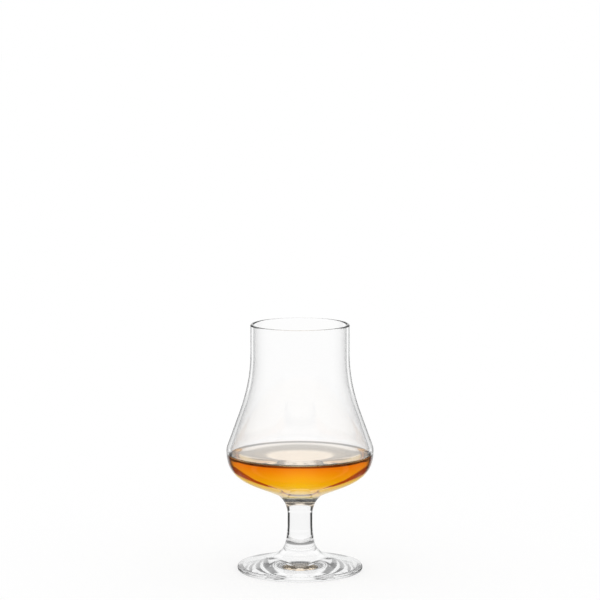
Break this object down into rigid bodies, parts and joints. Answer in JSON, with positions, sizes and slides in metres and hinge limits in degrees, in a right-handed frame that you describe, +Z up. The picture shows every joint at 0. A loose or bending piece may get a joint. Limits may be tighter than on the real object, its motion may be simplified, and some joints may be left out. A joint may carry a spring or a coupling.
{
  "type": "whisky nosing glass",
  "caption": "Clear stemmed nosing glass with a straight neck, flared flank and low belly on a short stem and disc foot, holding a measure of amber whisky.",
  "frame": {"origin": "centre of the resting ring under the foot, on the surface that the glass stands on", "axes": "+Z up along the axis of the glass, from the foot to the rim"},
  "size_m": [0.0682, 0.0682, 0.115],
  "materials": {
    "bowl_glass": "clear, fire-polished",
    "stem_glass": "clear, fire-polished",
    "foot_glass": "clear, fire-polished",
    "whisky": "clear amber liquid"
  },
  "bodies": {
    "root": {"bowl": "bowl_glass", "stem": "stem_glass", "foot": "foot_glass", "whisky": "whisky"}
  },
  "joints": []
}
